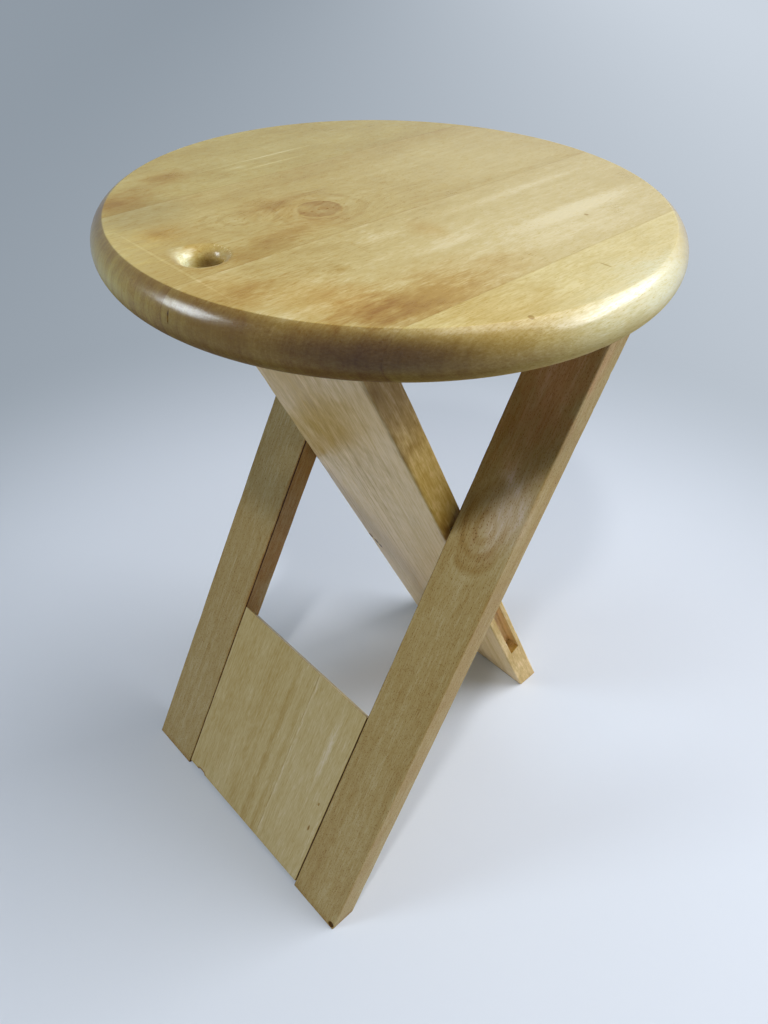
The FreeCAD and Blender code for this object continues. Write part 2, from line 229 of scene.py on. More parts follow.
def woodFinish(name, axes, look):
    finish, shader, start = newFinish(name)
    place = start.node("ShaderNodeTexCoord", out="Object")
    spot = start.node("ShaderNodeMapping", {"vector_type": "TEXTURE"}, {
        "Vector": place, "Location": axes.translation,
        "Rotation": axes.to_euler(), "Scale": (mm, mm, mm)})
    seeded = spot.vector("ADD", look["seed"])
    across = start.node("ShaderNodeSeparateXYZ", None, {0: spot}, "X")
    deep, along = across.other("Y"), across.other("Z")

    # how far a place is from a mark's middle: 1 at its edge
    def reach(middle, radii):
        return spot.vector("SUBTRACT", middle).vector("DIVIDE", radii).vector("LENGTH", out="Value")

    # fibres wander a little, and part to either side of a knot
    fibres = seeded
    for knot in look.get("knots", []):
        aside = spot.vector("SUBTRACT", knot["middle"]).vector("MULTIPLY", (knot["bend"], 0, 0))
        near = reach(knot["middle"], [radius * knot["pull"] for radius in knot["radii"]]).ramp(1, 0)
        fibres = fibres.vector("SUBTRACT", aside.scaled(near))
    drift = fibres.grain(60, 110, 2) * look["drift"]
    fibres = fibres.vector("ADD", start.node("ShaderNodeCombineXYZ", None, {0: drift}))

    clouds = seeded.grain(20, 34, 4, 0.6)
    mottle = fibres.grain(5, 14, 3, 0.6)
    broad = fibres.grain(24, 300, 2)
    streak = fibres.grain(3.4, look["streakLength"], 3, 0.62)
    fleck = fibres.grain(*look["fleckSize"], 3, 0.6)
    fine = fibres.grain(0.7, look["fleckSize"][1], 2, 0.6)
    hair = fibres.grain(0.35, 6, 2)
    wide, long = look["poreCell"]
    cells = fibres.vector("MULTIPLY", (1 / wide, 1 / wide, 1 / long))
    pore = start.node("ShaderNodeTexVoronoi", None, {"Vector": cells, "Scale": 1.0}, "Distance")
    pore = pore.ramp(look["poreSize"], look["poreSize"] * 0.4)

    tone = look["tone"] + broad * look["broad"] + streak * look["streak"] + clouds * look["clouds"]
    tone = tone + fleck * look["fleck"] * (1 + clouds * 3) + mottle * look["mottle"]
    tone = tone + fine * 0.36 + hair * 0.28
    for middle, radii, amount in look.get("marks", []):
        tone = tone + (reach(middle, radii) + clouds * 1.1 + fleck * 0.9).ramp(1, 0.1) * amount
    for middle, radii, amount in look.get("specks", []):
        tone = tone + reach(middle, radii).ramp(1, 0.6) * amount
    for knot in look.get("knots", []):
        away = reach(knot["middle"], knot["radii"]) + clouds * 0.45 + fleck * 0.12
        turns = away * knot["rings"] + broad * 14
        rings = turns.math("SINE", turns).ramp(knot["soft"], 1.0)
        fading = away.ramp(knot["spread"], knot["spread"] * 0.6) * away.ramp(0.15, 0.6)
        fading = fading * along.ramp(knot["upTo"] + 8, knot["upTo"] - 8)
        tone = tone - rings * fading * knot["contrast"]
        tone = tone - away.ramp(1.08, 0.86) * knot["dark"]
        tone = tone + abs(away - 1.06).ramp(0.14, 0.0) * knot["rim"]
    for seam, width, amount in look.get("seams", []):
        beside = abs(across - seam).ramp(width, width * 0.2)
        tone = tone - beside * deep.ramp(*look["seamDepth"]) * amount

    normal = place.other("Normal")
    grainWay = axes.to_3x3() @ Vector((0, 0, 1))
    ends = abs(normal.vector("DOT_PRODUCT", grainWay, "Value")).ramp(0.1, 0.6)
    ends = ends * rimOnly(spot, look["edges"])
    rays = seeded.cloud((1.2, 14, 200), 3, 0.6) + seeded.cloud((4, 30, 200), 2)
    tone = tone - pore * look["pores"] * (1 - ends * 0.5) - ends * look["endShade"] + rays * ends * 0.34

    # darker within 6 mm of the floor, and painted shade on the seat rim's lower half
    height = start.node("ShaderNodeSeparateXYZ", None, {0: place}, "Z")
    under = deep.ramp(*look["underRimAt"])
    tone = tone - height.ramp(0.006, 0.0) * (0.14 + clouds * 0.8) - under * 0.16

    # rubbed arrises: paler and duller in patches
    worn = wornEdges(spot, across, deep, look["edges"]) * (clouds + hair * 0.4).ramp(-0.06, 0.12)
    tone = tone + worn * look["wear"]

    stops = [(at, [part * tint for part, tint in zip(wood, look["tint"])]) for at, wood in woodTones]
    colour = tone.node("ShaderNodeValToRGB", {"stops": stops}, {0: tone})
    # ragged-edged tints follow the grain: real stains, and painted light and shade; soft tints fade
    # evenly and are mostly painted shade
    for middle, radii, tint, amount in look.get("stainsAndLight", []):
        near = (reach(middle, radii) + clouds * 0.9 + mottle * 0.7 + fleck * 0.5).ramp(1, 0.1)
        colour = colour.tinted(near * amount, tint)
    for middle, radii, tint in look.get("softShadesAndTints", []):
        colour = colour.tinted(reach(middle, radii).ramp(1, 0.2), tint)
    colour = colour.tinted(ends * look["endTint"], endGrainTint)
    rough = look["rough"] + clouds * 0.22 + hair * 0.10 + pore * 0.18 + under * 0.4 + worn * 0.15
    # varnish thins over the pores and fibres and under the rim, and is rubbed dull by sitting
    level = normal.vector("DOT_PRODUCT", (0, 0, 1), "Value").ramp(0.93, 0.995)
    coat = look["coat"] * (1 + fine * 1.5 + hair * 1.5 + fleck * 0.8 - pore * 0.7)
    coat = coat * (1 - under * 0.95) * (1 - level * look.get("rubbed", 0.0))
    relief = fine * 0.35 + hair * 0.35 + fleck * 0.5 - pore * 0.9
    bump = start.node("ShaderNodeBump", None, {"Strength": 0.5, "Distance": 0.00012, "Height": relief})
    plug(start, shader, {"Base Color": colour, "Roughness": rough, "Coat Weight": coat, "Normal": bump},
         {"Coat Roughness": 0.22, "Coat IOR": 1.7, "IOR": 1.5, "Specular IOR Level": 0.15})
    return finish


def fromMiddle(spot):
    # distance from the upright line through the middle of the seat
    return spot.vector("MULTIPLY", (1, 0, 1)).vector("LENGTH", out="Value")


def rimOnly(spot, edges):
    # keeps the finger hole's wall pale; a plank's ends are dark all over
    if "radius" not in edges:
        return 1.0
    return fromMiddle(spot).ramp(edges["radius"] - 8, edges["radius"])


def wornEdges(spot, across, deep, edges):
    # 1 along the rim's arrises or a plank's four long ones, 0 a few millimetres away
    if "radius" in edges:
        return abs(fromMiddle(spot) - edges["radius"]).ramp(2.4, 0.2)
    sideways = abs(across - edges["middle"]).ramp(edges["halfWidth"] - 3.0, edges["halfWidth"] - 0.6)
    return sideways * abs(deep).ramp(edges["halfThick"] - 3.0, edges["halfThick"] - 0.6)


def plankEdges(node, axes):
    low, high = (corner / mm for corner in boxAlong(node, axes))
    return {"middle": (low.x + high.x) / 2, "halfWidth": (high.x - low.x) / 2,
            "halfThick": (high.y - low.y) / 2}


def makePiece(name, mesh, finish, node, smoothAngle=35):
    # round faces smooth, edges clean and flat faces flat, as a plain mesh at the origin
    piece = bpy.data.objects.new(name, mesh)
    bpy.context.scene.collection.objects.link(piece)
    mesh.materials.clear()
    mesh.materials.append(finish)
    mesh.shade_smooth()
    mesh.set_sharp_from_angle(angle=math.radians(smoothAngle))
    weighted = piece.modifiers.new("flatFaces", "WEIGHTED_NORMAL")
    weighted.keep_sharp = True
    piece.data = bakedMesh(piece)
    piece.modifiers.clear()
    body = frame["nodes"][node]["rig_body"]
    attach(piece, body)
    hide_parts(node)
    next(part["material_slot"] for part in frame["record"]["subparts"]
                        if part["node"] == node)
    return piece


def bakedMesh(piece):
    seen = bpy.context.evaluated_depsgraph_get()
    seen.update()
    return bpy.data.meshes.new_from_object(piece.evaluated_get(seen))


def meshFrom(shape, name):
    bmesh.ops.recalc_face_normals(shape, faces=shape.faces[:])
    mesh = bpy.data.meshes.new(name)
    shape.to_mesh(mesh)
    shape.free()
    return mesh


def cutAway(mesh, cutters):
    # takes each cutter's shape out of a closed mesh
    work = bpy.data.objects.new("work", mesh)
    bpy.context.scene.collection.objects.link(work)
    tools = []
    for cutter in cutters:
        tool = bpy.data.objects.new("tool", cutter)
        bpy.context.scene.collection.objects.link(tool)
        cut = work.modifiers.new("cut", "BOOLEAN")
        cut.operation, cut.solver, cut.object = "DIFFERENCE", "EXACT", tool
        tools.append(tool)
    result = bakedMesh(work)
    for item in [work, *tools]:
        bpy.data.objects.remove(item)
    return result


def loft(rings):
    # closed skin through rings of the same number of points
    shape = bmesh.new()
    rows = [[shape.verts.new(spot) for spot in ring] for ring in rings]
    for lower, upper in zip(rows, rows[1:]):
        for index in range(len(lower)):
            after = (index + 1) % len(lower)
            shape.faces.new((lower[index], lower[after], upper[after], upper[index]))
    shape.faces.new(list(reversed(rows[0])))
    shape.faces.new(rows[-1])
    bmesh.ops.remove_doubles(shape, verts=shape.verts[:], dist=1e-6)
    bmesh.ops.dissolve_degenerate(shape, edges=shape.edges[:], dist=1e-6)
    return shape


def gouge(axes, middle, radii, turn=0.0):
    # a chip or dent to cut away, as a small squashed ball; millimetres along the piece's own axes
    shape = bmesh.new()
    sizes = Matrix.Diagonal([radius * mm for radius in radii]).to_4x4()
    place = axes @ Matrix.Translation(Vector(middle) * mm) @ Matrix.Rotation(math.radians(turn), 4, "Y")
    bmesh.ops.create_icosphere(shape, subdivisions=3, radius=1.0, matrix=place @ sizes)
    return meshFrom(shape, "chip")


def chipped(mesh, axes, look):
    chips = [gouge(axes, *chip) for chip in look.get("chips", [])]
    return cutAway(mesh, chips) if chips else mesh


# Seat: four boards turned to one round blank
seat = {
    "turns": 240,
    "rimSteps": 22,
    "easedArris": 0.5,
    "holeTurns": 72,
    "lipSteps": 8,
}
seatKnot = {
    "middle": (-11, 0, -41), "radii": (11.0, 60, 12.5), "bend": 0.85, "pull": 3.6, "rings": 7.0,
    "soft": 0.1, "spread": 2.6, "contrast": 0.07, "dark": 0.19, "rim": 0.09, "upTo": 500,
}
seatSwirl = {
    "middle": (-26, 0, -80), "radii": (9, 60, 11), "bend": 0.5, "pull": 3.0, "rings": 7.5,
    "soft": 0.1, "spread": 2.6, "contrast": 0.06, "dark": 0.0, "rim": 0.0, "upTo": 500,
}
seatLook = {
    "broad": 0.24, "streak": 0.14, "streakLength": 50, "clouds": 0.28, "fleck": 0.32,
    "fleckSize": (1.2, 6), "mottle": 0.14, "drift": 10, "pores": 0.18, "poreCell": (0.9, 4.0),
    "poreSize": 0.26, "endShade": 0.10, "endTint": 0.9, "rough": 0.32, "coat": 0.85, "rubbed": 0.4,
    "underRimAt": (9, 19), "seamDepth": (500, 400), "tint": (1.0, 0.98, 0.94), "wear": 0.05,
}
# torn fibres that show as pale ticks round the back of the finger hole
tickTurns = [math.radians(turn) for turn in range(48, 124, 9)]
lipTicks = [((13.2 * math.cos(turn), 2, 13.2 * math.sin(turn) - 120), (0.45, 3.5, 0.45), 0.4)
            for turn in tickTurns]
# a scratch, a darker bluer patch at the front left, and painted shade and light on the rim, that run over
# more than one board
scratch = ((0, 0, -136.4), (57, 3, 0.9), 0.10)
frontLeft = ((-66, 0, -118), (36, 9, 40), (0.84, 0.86, 0.92))
# rimFront is painted shade on the front rim, which faces away from the lamps
rimFront = ((110, 9, -112), (56, 11, 56), shade)
# rimLeft is painted window light and reflection on the rim's left side
rimLeft = ((-45, 12, -148), (100, 15, 62), paintedWindowLight, 1.0)
seatBoards = {
    "seat_board_1": {
        "tone": 0.61, "seed": (410, 30, 55), "tint": (0.99, 1.0, 0.95),
        "marks": [
            ((-99, 0, -10), (1.6, 40, 48), 0.22),
            ((-86, 0, -18), (1.6, 40, 34), 0.22),
            ((-92, 0, -34), (5.0, 40, 16), 0.16),
        ],
        "stainsAndLight": [
            ((-104, 0, -76), (16, 40, 24), smear, 0.9),
            ((-104, 0, -78), (8, 40, 12), brown, 0.6),
            ((-83, 0, -116), (16, 40, 22), smear, 0.9),
            ((-70, 0, -118), (40, 40, 44), smear, 1.0),
            ((-84, 0, -119), (7, 40, 10), brown, 0.6),
            rimLeft,
        ],
        "softShadesAndTints": [frontLeft],
    },
    "seat_board_2": {
        "tone": 0.63, "seed": (120, 75, 640), "streak": 0.16, "knots": [seatKnot, seatSwirl],
        "marks": [
            ((-30, 0, 60), (50, 60, 80), 0.06),
            ((2, 0, 95), (40, 60, 70), 0.07),
            ((-17, 0, -47), (6, 60, 6), 0.14),
        ],
        "stainsAndLight": [
            ((-22, 0, -54), (30, 60, 34), smear, 0.7),
            ((4, 0, -66), (16, 60, 44), smear, 0.7),
            ((6, 0, -72), (8, 60, 22), brown, 0.5),
            ((12, 0, -96), (15, 60, 44), brown, 0.6),
            ((-34, 0, -122), (15, 60, 16), smear, 0.8),
            ((-34, 0, -122), (7, 60, 6), brown, 0.6),
            ((-10, 0, -125), (70, 60, 36), smear, 0.5),
            ((-28, 0, -57), (9, 60, 13), brown, 0.6),
            rimLeft,
            # painted light on the finger hole's wall that faces the window
            ((-9, 4, -126), (9, 10, 9), paintedWallLight, 1.0),
        ],
        # painted shade deep in the finger hole; frontLeft is a darker, bluer patch
        "softShadesAndTints": [((-2, 9, -113), (15, 8.5, 11), (0.38, 0.32, 0.34)), frontLeft],
        "specks": [scratch, *lipTicks],
    },
    "seat_board_3": {
        "tone": 0.77, "seed": (930, 210, 150), "clouds": 0.36, "streak": 0.16, "mottle": 0.20,
        "tint": (0.95, 0.91, 0.83),
        "marks": [
            ((80, 0, 40), (46, 60, 130), 0.13),
            ((30, 0, -92), (34, 60, 80), -0.14),
            ((37, 0, 66), (7, 60, 84), 0.12),
            ((76, 0, 62), (9, 60, 72), 0.22),
            ((64, 0, -22), (8, 60, 30), 0.14),
            ((37, 0, -44), (7, 60, 18), 0.12),
        ],
        "stainsAndLight": [
            ((98, 0, -64), (36, 60, 74), smear, 0.9),
            ((98, 0, -66), (26, 60, 54), brown, 0.85),
            ((66, 0, -112), (44, 60, 34), smear, 0.9),
            ((84, 0, -98), (30, 60, 24), smear, 0.8),
            rimLeft,
            ((100, 0, -96), (24, 60, 30), brown, 0.6),
            ((46, 0, -18), (18, 60, 12), smear, 0.7),
            ((53, 0, -82), (7, 60, 8), brown, 0.7),
            ((34, 0, -132), (34, 60, 24), smear, 0.8),
        ],
        # painted shade on the front rim
        "softShadesAndTints": [rimFront, ((64, 7, -142), (50, 9, 44), (0.78, 0.70, 0.48))],
        "specks": [
            ((85, 0, 59), (1.6, 3, 1.2), -0.40),
            scratch,
            ((25, 9, -156), (0.6, 5.0, 3), -0.60),
        ],
        "chips": [((25, 9, -155.4), (0.45, 3.4, 1.0))],
    },
    "seat_board_4": {
        "tone": 0.89, "seed": (60, 520, 330), "streak": 0.14, "clouds": 0.18,
        "tint": (0.935, 0.885, 0.67),
        "stainsAndLight": [
            ((128, 0, -64), (44, 60, 56), (0.90, 0.82, 0.62), 1.0),
            # painted sheen on the right rim, under the window's highlight
            ((152, 8, 30), (30, 16, 100), paintedSheen, 1.0),
        ],
        "softShadesAndTints": [rimFront],
        "specks": [
            ((129, 0, 13), (4.0, 3, 0.9), -0.26),
            ((139, 0, -54), (1.8, 3, 1.6), -0.40),
        ],
    },
}


def seatBlank():
    # half section from the middle of the top round the rim to the middle of the bottom, spun once round
    top, bottom = cadHigh.z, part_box("seat_board_1")[0].z
    rim = min(cadHigh.x, -cadLow.x, cadHigh.y, -cadLow.y) - inside
    face = seatFace()
    half, bulge = (top - bottom) / 2, rim - face
    radius = (half ** 2 + bulge ** 2) / (2 * bulge)
    sweep = math.asin(half / radius)
    middle = Vector((rim - radius, (top + bottom) / 2))
    ease = seat["easedArris"] * mm
    trim = ease / radius
    arc = []
    for step in range(seat["rimSteps"] + 1):
        angle = (sweep - trim) * (1 - 2 * step / seat["rimSteps"])
        arc.append(middle + radius * Vector((math.cos(angle), math.sin(angle))))
    section = [Vector((0, top))]
    section += curveThrough(Vector((face - ease, top)), Vector((face, top)), arc[0])
    section += arc[1:-1]
    section += curveThrough(arc[-1], Vector((face, bottom)), Vector((face - ease, bottom)))
    section.append(Vector((0, bottom)))
    return spun(section, seat["turns"])


def seatFace():
    # radius of the flat top
    spots = [vertex.co for vertex in frame["nodes"]["seat_board_2"].data.vertices]
    return max(spot.xy.length for spot in spots if cadHigh.z - spot.z < 0.01 * mm)


def curveThrough(start, corner, end, steps=5):
    # an eased corner as a parabola
    parts = [step / steps for step in range(steps + 1)]
    return [start * (1 - t) ** 2 + corner * 2 * t * (1 - t) + end * t ** 2 for t in parts]


def spun(section, turns, offset=(0, 0)):
    shape = bmesh.new()
    line = [shape.verts.new((spot.x, 0, spot.y)) for spot in section]
    edges = [shape.edges.new(pair) for pair in zip(line, line[1:])]
    bmesh.ops.spin(shape, geom=line + edges, axis=(0, 0, 1), cent=(0, 0, 0), steps=turns,
                   angle=2 * math.pi, use_duplicate=False)
    bmesh.ops.remove_doubles(shape, verts=shape.verts[:], dist=1e-6)
    bmesh.ops.dissolve_degenerate(shape, edges=shape.edges[:], dist=1e-7)
    bmesh.ops.translate(shape, verts=shape.verts[:], vec=(*offset, 0))
    return shape


def fingerHole():
    # cutter with a rounded lip at both mouths, a hair past the faces so that it cuts clean
    hole = mounts["finger_hole"]
    radius, length = hole["dims"]["r_mm"] * mm, hole["dims"]["length_mm"] * mm
    top, bottom = cadHigh.z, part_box("seat_board_2")[0].z
    lip = (top - bottom - length) / 2
    past = 0.02 * mm
    beyond = 4 * mm
    section = [Vector((0, top + beyond)), Vector((radius + lip, top + beyond))]
    for sign, level in ((1, top), (-1, bottom)):
        arc = []
        for step in range(seat["lipSteps"] + 1):
            angle = math.pi / 2 * step / seat["lipSteps"]
            out = radius + lip * (1 - math.sin(angle))
            arc.append(Vector((out, level + sign * (past - lip * (1 - math.cos(angle))))))
        section += arc if sign > 0 else reversed(arc)
    section += [Vector((radius + lip, bottom - beyond)), Vector((0, bottom - beyond))]
    cutter = spun(section, seat["holeTurns"], hole["pos_m"][:2])
    return meshFrom(cutter, "fingerHole")


seatEdges = {"radius": seatFace() / mm}
for node, board in seatBoards.items():
    shape = seatBlank()
    low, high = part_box(node)
    inset = 1 * mm
    for side, edge in ((-1, low.x), (1, high.x)):
        if abs(edge) < cadHigh.x - inset:
            cut = bmesh.ops.bisect_plane(shape, geom=shape.verts[:] + shape.edges[:] + shape.faces[:],
                                         plane_co=(edge, 0, 0), plane_no=(side, 0, 0), clear_outer=True)
            rimEdges = [item for item in cut["geom_cut"] if isinstance(item, bmesh.types.BMEdge)]
            bmesh.ops.contextual_create(shape, geom=rimEdges)
    bmesh.ops.dissolve_limit(shape, angle_limit=0.002, verts=shape.verts[:], edges=shape.edges[:])
    mesh = meshFrom(shape, node)
    if node == "seat_board_2":
        mesh = cutAway(mesh, [fingerHole()])
    mesh = chipped(mesh, seatAxes, board)
    seams = [(edge / mm, 0.7, 0.10) for edge in (low.x, high.x)]
    look = {**seatLook, **board, "seams": seams, "edges": seatEdges}
    finish = woodFinish(node + "_wood", seatAxes, look)
    makePiece(node + "_turned", mesh, finish, node, 18)
print("seat boards turned")

# Planks of the legs: eased along their arrises and feet, a little uneven from use
planks = {
    "spacing": 6.0,
    "cornerSteps": 5,
    "topSteps": 8,
    "easeSteps": 3,
    "footEase": 0.6,
    "glueEase": 0.15,
    "wear": 0.22,
    "wornWidth": 1.5,
    "dentSize": (7, 16),
}


def plankSection(low, high, radii, inset):
    # outline across the grain, round its four corners
    outline = []
    corners = ((low.x, low.y, 180), (high.x, low.y, 270), (high.x, high.y, 0), (low.x, high.y, 90))
    for x, y, start in corners:
        radius = (radii[0] if x == low.x else radii[1]) * mm
        inX = inset + radius if x == low.x else -inset - radius
        inY = inset + radius if y == low.y else -inset - radius
        for step in range(planks["cornerSteps"] + 1):
            angle = math.radians(start + 90 * step / planks["cornerSteps"])
            outline.append(Vector((x + inX + radius * math.cos(angle),
                                   y + inY + radius * math.sin(angle))))
    return outline


def buildPlank(node, axes, radii, bevel=None):
    # foot cut level with the floor; the top rounded over, or sloped down to the back by the bevel
    low, high = boxAlong(node, axes)
    half = (high.y - low.y) / 2
    rise = axes.to_3x3() @ Vector((0, 0, 1))
    through = axes.to_3x3() @ Vector((0, 1, 0))
    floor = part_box(node)[0].z + inside
    ease = planks["footEase"] * mm
    wide, long = (size * mm for size in planks["dentSize"])

    def footAt(y):
        return (floor - axes.translation.z - through.z * y) / rise.z

    def topAt(y):
        return high.z - half if bevel is None else high.z - bevel * mm * (y + half) / (2 * half)

    def ring(outline, levelOf, shrink=1.0):
        spots = []
        for flat in outline:
            level = levelOf(flat.y)
            dent = noise.noise(Vector((flat.x / wide, flat.y / wide, level / long)))
            edge = min(flat.x - low.x, high.x - flat.x) + min(flat.y - low.y, high.y - flat.y)
            worn = planks["wear"] * mm * max(dent, 0) if edge < planks["wornWidth"] * mm else 0
            x = flat.x - math.copysign(worn, flat.x - (low.x + high.x) / 2)
            y = flat.y - math.copysign(worn, flat.y)
            spots.append(axes @ Vector((x, y * shrink, level)))
        return spots

    full = plankSection(low, high, radii, 0)
    count = int((high.z - low.z) / (planks["spacing"] * mm))
    turns = [math.pi / 2 * step / planks["easeSteps"] for step in range(planks["easeSteps"] + 1)]
    eased = [(ease * (1 - math.sin(turn)), ease * (1 - math.cos(turn))) for turn in turns]
    rings = []
    for inset, lift in eased:
        rings.append(ring(plankSection(low, high, radii, inset), lambda y: footAt(y) + lift))
    for step in range(1, count):
        share = step / count
        rings.append(ring(full, lambda y: (footAt(y) + ease) * (1 - share) + (topAt(y) - ease) * share))
    if bevel is None:
        for step in range(planks["topSteps"] + 1):
            angle = math.pi / 2 * step / planks["topSteps"]
            thin = max(math.cos(angle), 1e-3)
            rings.append(ring(full, lambda y: topAt(y) + half * math.sin(angle), thin))
    else:
        for inset, drop in reversed(eased):
            rings.append(ring(plankSection(low, high, radii, inset), lambda y: topAt(y) - drop))
    return loft(rings)


def grooveCutter(axes, low, high, side, groove):
    # stopped groove with square ends, its mouth a little eased, open to the leg's side edge
    hinge = high.z - (high.y - low.y) / 2
    edge = high.x if side > 0 else low.x
    ease, past = groove["ease"], 3
    rings = []
    for into, flare in ((groove["depth"], 0), (ease, 0), (0, ease), (-past, ease + past)):
        front, back = (groove["offset"] + sign * (groove["width"] / 2 + flare) for sign in (-1, 1))
        top, bottom = groove["top"] - flare, groove["bottom"] + flare
        corners = ((front, top), (back, top), (back, bottom), (front, bottom))
        rings.append([axes @ Vector((edge - side * into * mm, y * mm, hinge - down * mm))
                      for y, down in corners])
    return meshFrom(loft(rings), "groove")


# Outer frame: two stiles and a foot panel of two boards
frameSizes = {"arris": 1.2, "panelArris": 0.9, "panelBevel": 11.5}
stileLook = {
    "tone": 0.60, "broad": 0.26, "streak": 0.30, "streakLength": 110, "clouds": 0.16, "fleck": 0.24,
    "fleckSize": (1.2, 10), "mottle": 0.12, "drift": 5, "pores": 0.34, "poreCell": (0.66, 2.3),
    "poreSize": 0.34, "endShade": 0.06, "endTint": 0.7, "rough": 0.44, "coat": 0.15,
    "underRimAt": (30, 40), "seamDepth": (-7.6, -8.2), "tint": (0.82, 0.81, 1.02), "wear": 0.07,
}
stileFigure = {
    "middle": (92, -9, 324), "radii": (8.5, 60, 14), "bend": 0.5, "pull": 2.6, "rings": 8.5,
    "soft": -0.8, "spread": 2.9, "contrast": 0.11, "dark": 0.0, "rim": 0.0, "upTo": 334,
}
stileDisc = {
    "middle": (94, -9, 322), "radii": (19, 60, 33), "bend": 0.0, "pull": 1.0, "rings": 1.0,
    "soft": 0.9, "spread": 1.0, "contrast": 0.0, "dark": 0.08, "rim": 0.05, "upTo": 334,
}
stiles = {
    "left_stile": {
        "seed": (75, 300, 880), "tint": (0.76, 0.75, 0.98),
        "stainsAndLight": [
            # orange-brown inner side face, partly painted warm bounce light in its shade
            ((-70, 0, 300), (5, 40, 400), (0.90, 0.66, 0.40), 1.0),
            ((-94, 0, 440), (40, 30, 90), brown, 0.6),
        ],
    },
    "right_stile": {
        "seed": (505, 45, 215), "knots": [stileFigure, stileDisc],
        "marks": [((104, -9, 332), (24, 20, 44), 0.10), ((105, -9, 334), (7, 20, 13), 0.06)],
        "stainsAndLight": [
            # painted light: a pale, bluish sheen on the lit part below the seat's shadow
            ((102, -9, 334), (20, 14, 42), (1.26, 1.34, 2.1), 1.0),
            # reddish wood at the stile's top, partly painted warm bounce light in the seat's shadow
            ((94, -9, 450), (40, 14, 100), rosyWoodAndBounce, 1.0),
            # painted shade: the outer side face darker and warmer where the right lamps fall
            ((117.5, 0, 300), (5, 30, 400), (0.98, 0.91, 0.78), 1.0),
        ],
        # painted shadow: the seat's shadow across the stile's upper part
        "softShadesAndTints": [((94, -9, 388), (40, 16, 32), (0.84, 0.80, 0.74))],
        "specks": [((113, -9, 3), (3, 3, 2.4), -0.35)],
        "chips": [
            ((113, -9, 3.0), (2.6, 2.2, 2.0)),
            ((116.2, 9, 436), (1.1, 1.5, 3.0)),
            ((116.2, 9, 414), (1.0, 1.3, 2.4)),
        ],
    },
}
panelLook = {
    "tone": 0.70, "broad": 0.22, "streak": 0.20, "streakLength": 150, "clouds": 0.12, "fleck": 0.18,
    "fleckSize": (1.2, 12), "mottle": 0.08, "drift": 4, "pores": 0.10, "poreCell": (0.9, 6.0),
    "poreSize": 0.24, "endShade": 0.0, "endTint": 0.15, "rough": 0.40, "coat": 0.18,
    "underRimAt": (30, 40), "seamDepth": (-7.6, -8.2), "tint": (0.87, 0.85, 0.98), "wear": 0.06,
}
panels = {
    "panel_board_left": {
        "seed": (310, 640, 20), "radii": (frameSizes["panelArris"], planks["glueEase"]),
        "marks": [((-45, 0, 90), (26, 60, 140), -0.05), ((2, 0, 70), (5, 60, 140), -0.12),
                  ((14, 0, 70), (4, 60, 140), -0.10), ((-20, 0, 90), (12, 60, 160), -0.06)],
        "specks": [((-55, -9, 4), (7, 4, 3.2), -0.5)],
        "chips": [((-55, -9, 4.0), (4.5, 1.8, 1.5))],
    },
    "panel_board_right": {
        "seed": (820, 15, 470), "radii": (planks["glueEase"], frameSizes["panelArris"]), "tone": 0.75,
        "marks": [((52, 0, 110), (4.5, 60, 44), 0.14)],
        "specks": [((63, -9, 73), (1.0, 3, 1.8), -0.4), ((63, -9, 50), (0.9, 3, 3.0), -0.5)],
    },
}


def panelGlue():
    return boxAlong("panel_board_left", frameAxes)[1].x / mm


for node, stile in stiles.items():
    shape = buildPlank(node, frameAxes, (frameSizes["arris"], frameSizes["arris"]))
    edges = plankEdges(node, frameAxes)
    inner = edges["middle"] - math.copysign(edges["halfWidth"], edges["middle"])
    # dark lines where the stile meets the panel: dirt in the joint, partly painted shade in the groove
    seams = [(inner, 1.8, 0.2), (inner, 0.7, 0.7)]
    look = {**stileLook, **stile, "edges": edges, "seams": seams}
    finish = woodFinish(node + "_wood", frameAxes, look)
    makePiece(node + "_planed", chipped(meshFrom(shape, node), frameAxes, stile), finish, node)
for node, panel in panels.items():
    shape = buildPlank(node, frameAxes, panel["radii"], frameSizes["panelBevel"])
    edges = plankEdges(node, frameAxes)
    outer = edges["middle"] + math.copysign(edges["halfWidth"], edges["middle"])
    # dark lines where the panel meets the stiles: dirt in the joint, partly painted shade in the groove;
    # and its glue line
    seams = [(outer, 1.4, 0.22), (outer, 0.6, 0.8), (panelGlue(), 0.6, 0.10)]
    look = {**panelLook, **panel, "edges": edges, "seams": seams}
    finish = woodFinish(node + "_wood", frameAxes, look)
    makePiece(node + "_planed", chipped(meshFrom(shape, node), frameAxes, panel), finish, node)
print("outer frame planed")

